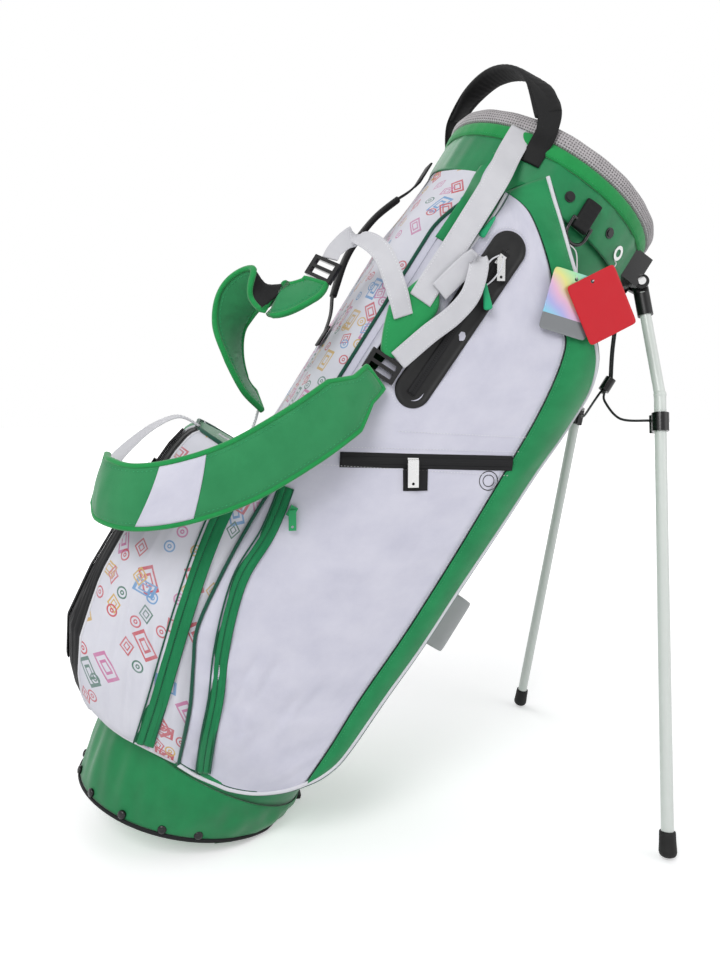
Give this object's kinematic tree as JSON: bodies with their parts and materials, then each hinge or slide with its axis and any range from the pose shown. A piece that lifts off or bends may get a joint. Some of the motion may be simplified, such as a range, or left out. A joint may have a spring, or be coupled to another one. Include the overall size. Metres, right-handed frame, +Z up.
{
  "type": "golf stand bag",
  "caption": "Golf bag that stands on two folding legs, with club wells, zipped pockets, shoulder straps and a hinged base.",
  "frame": {"origin": "centre of the flat contact strip under the base, on the floor", "axes": "+Z up from the floor; +X from the base towards the legs; +Y to the bag's left side"},
  "size_m": [0.7293, 0.4612, 0.9187],
  "materials": {
    "shell_fabric": "woven",
    "bright_binding": "ribbed",
    "white_fabric": "woven",
    "printed_fabric": "printed with plain shapes",
    "black_plastic": "moulded",
    "grey_mesh": "mesh",
    "divider_fabric": "fleece",
    "stay_fibreglass": "pultruded",
    "white_tube": "gloss paint",
    "rubber": "matte",
    "green_plastic": "moulded",
    "skirt_fabric": "woven",
    "steel": "brushed",
    "black_webbing": "woven",
    "white_webbing": "woven",
    "pad_fabric": "padded",
    "cord": "braided",
    "red_card": "printed card",
    "silver_card": "holographic card"
  },
  "bodies": {
    "bag": {"body_shell": "shell_fabric", "top_collar": "black_plastic", "top_divider": "black_plastic", "divider_panels": "divider_fabric", "cuff_padding": "grey_mesh", "collar_band": "bright_binding", "base_frame": "black_plastic", "stay_rods": "stay_fibreglass", "belly_panel": "shell_fabric", "apparel_pocket_right": "white_fabric", "apparel_pocket_left": "white_fabric", "ball_pocket": "shell_fabric", "spine_panel": "printed_fabric", "front_zip_tape": "black_webbing", "valuables_zip_guard": "black_webbing", "ball_zip_tape": "black_webbing", "apparel_zip_tape": "bright_binding", "top_handle": "black_webbing", "spine_handle": "black_webbing", "strap_hub": "bright_binding", "strap_webbing": "white_webbing", "strap_tails": "white_webbing", "ladder_locks": "black_plastic", "shoulder_pad_right": "pad_fabric", "shoulder_pad_left": "pad_fabric", "towel_loop": "black_webbing", "eyelet": "steel", "collar_snaps": "black_plastic", "leg_bracket": "black_plastic", "bracket_rivets": "steel", "leg_pins": "steel", "leg_cord": "cord", "cord_lock": "black_plastic", "leg_rest": "grey_mesh", "rod_guides": "black_plastic", "base_skirt": "skirt_fabric", "base_snaps": "black_plastic", "base_pin": "steel"},
    "leg_right": {"leg_head_right": "black_plastic", "leg_tube_right": "white_tube", "leg_clip_right": "black_plastic", "leg_foot_right": "rubber"},
    "leg_left": {"leg_head_left": "black_plastic", "leg_tube_left": "white_tube", "leg_clip_left": "black_plastic", "leg_foot_left": "rubber"},
    "actuator": {"actuator_rod": "steel", "leg_yoke": "black_plastic"},
    "base": {"base_boot": "rubber", "base_plate": "green_plastic"},
    "towel_ring": {"towel_ring": "black_plastic"},
    "lock_plunger": {"cord_lock_plunger": "steel"},
    "front_zip": {"front_zip_slider": "steel"},
    "valuables_zip": {"valuables_zip_slider": "bright_binding"},
    "apparel_zip": {"apparel_zip_slider": "bright_binding"},
    "ball_zip": {"ball_zip_slider": "steel"},
    "tag_red": {"hang_tag_red": "red_card"},
    "tag_silver": {"hang_tag_silver": "silver_card"}
  },
  "joints": [
    {"name": "leg_right_fold", "type": "hinge", "parent": "bag", "child": "leg_right", "pos_m": [0.51836, -0.06, 0.65078], "axis": [0.356, 0.9063, -0.2277], "range_deg": [0, 31.2], "deforming": ["leg_cord"]},
    {"name": "leg_left_fold", "type": "hinge", "parent": "bag", "child": "leg_left", "pos_m": [0.51836, 0.06, 0.65078], "axis": [-0.356, 0.9063, 0.2277], "range_deg": [0, 31.2]},
    {"name": "base_fold", "type": "hinge", "parent": "bag", "child": "base", "pos_m": [0.02181, 0, 0.02646], "axis": [0, 1, 0], "range_deg": [0, 17.2], "deforming": ["base_skirt"]},
    {"name": "actuator_slide", "type": "slide", "parent": "bag", "child": "actuator", "axis": [0.5388, 0, 0.8425], "range_m": [-0.0214, 0]},
    {"name": "towel_ring_swing", "type": "hinge", "parent": "bag", "child": "towel_ring", "pos_m": [0.40469, -0.13398, 0.70567], "axis": [0.8349, 0.1334, -0.534], "range_deg": [-100, 0]},
    {"name": "lock_plunger_press", "type": "slide", "parent": "bag", "child": "lock_plunger", "axis": [0.5388, 0, 0.8425], "range_m": [0, 0.0025], "stiffness_N_per_m": 400},
    {"name": "front_zip_slide", "type": "slide", "parent": "bag", "child": "front_zip", "axis": [0.9992, 0, -0.0394], "range_m": [-0.066, 0.08]},
    {"name": "valuables_zip_slide", "type": "slide", "parent": "bag", "child": "valuables_zip", "axis": [-0.5613, 0, -0.8276], "range_m": [0, 0.14]},
    {"name": "apparel_zip_slide", "type": "slide", "parent": "bag", "child": "apparel_zip", "axis": [-0.5138, 0, -0.8579], "range_m": [0, 0.1]},
    {"name": "ball_zip_slide", "type": "slide", "parent": "bag", "child": "ball_zip", "axis": [0.5388, 0, 0.8425], "range_m": [-0.18, 0.01]},
    {"name": "tag_red_swing", "type": "hinge", "parent": "bag", "child": "tag_red", "pos_m": [0.45904, -0.10676, 0.67138], "axis": [0, 1, 0], "range_deg": [-12, 12]},
    {"name": "tag_silver_swing", "type": "hinge", "parent": "bag", "child": "tag_silver", "pos_m": [0.38995, -0.13517, 0.68233], "axis": [0, 1, 0], "range_deg": [-3, 12]}
  ],
  "couplings": [
    {"joint": "leg_left_fold", "follows": "leg_right_fold", "ratio": 1},
    {"joint": "base_fold", "follows": "leg_right_fold", "ratio": 0.55128},
    {"joint": "actuator_slide", "follows": "leg_right_fold", "m_per_rad": -0.039295}
  ]
}
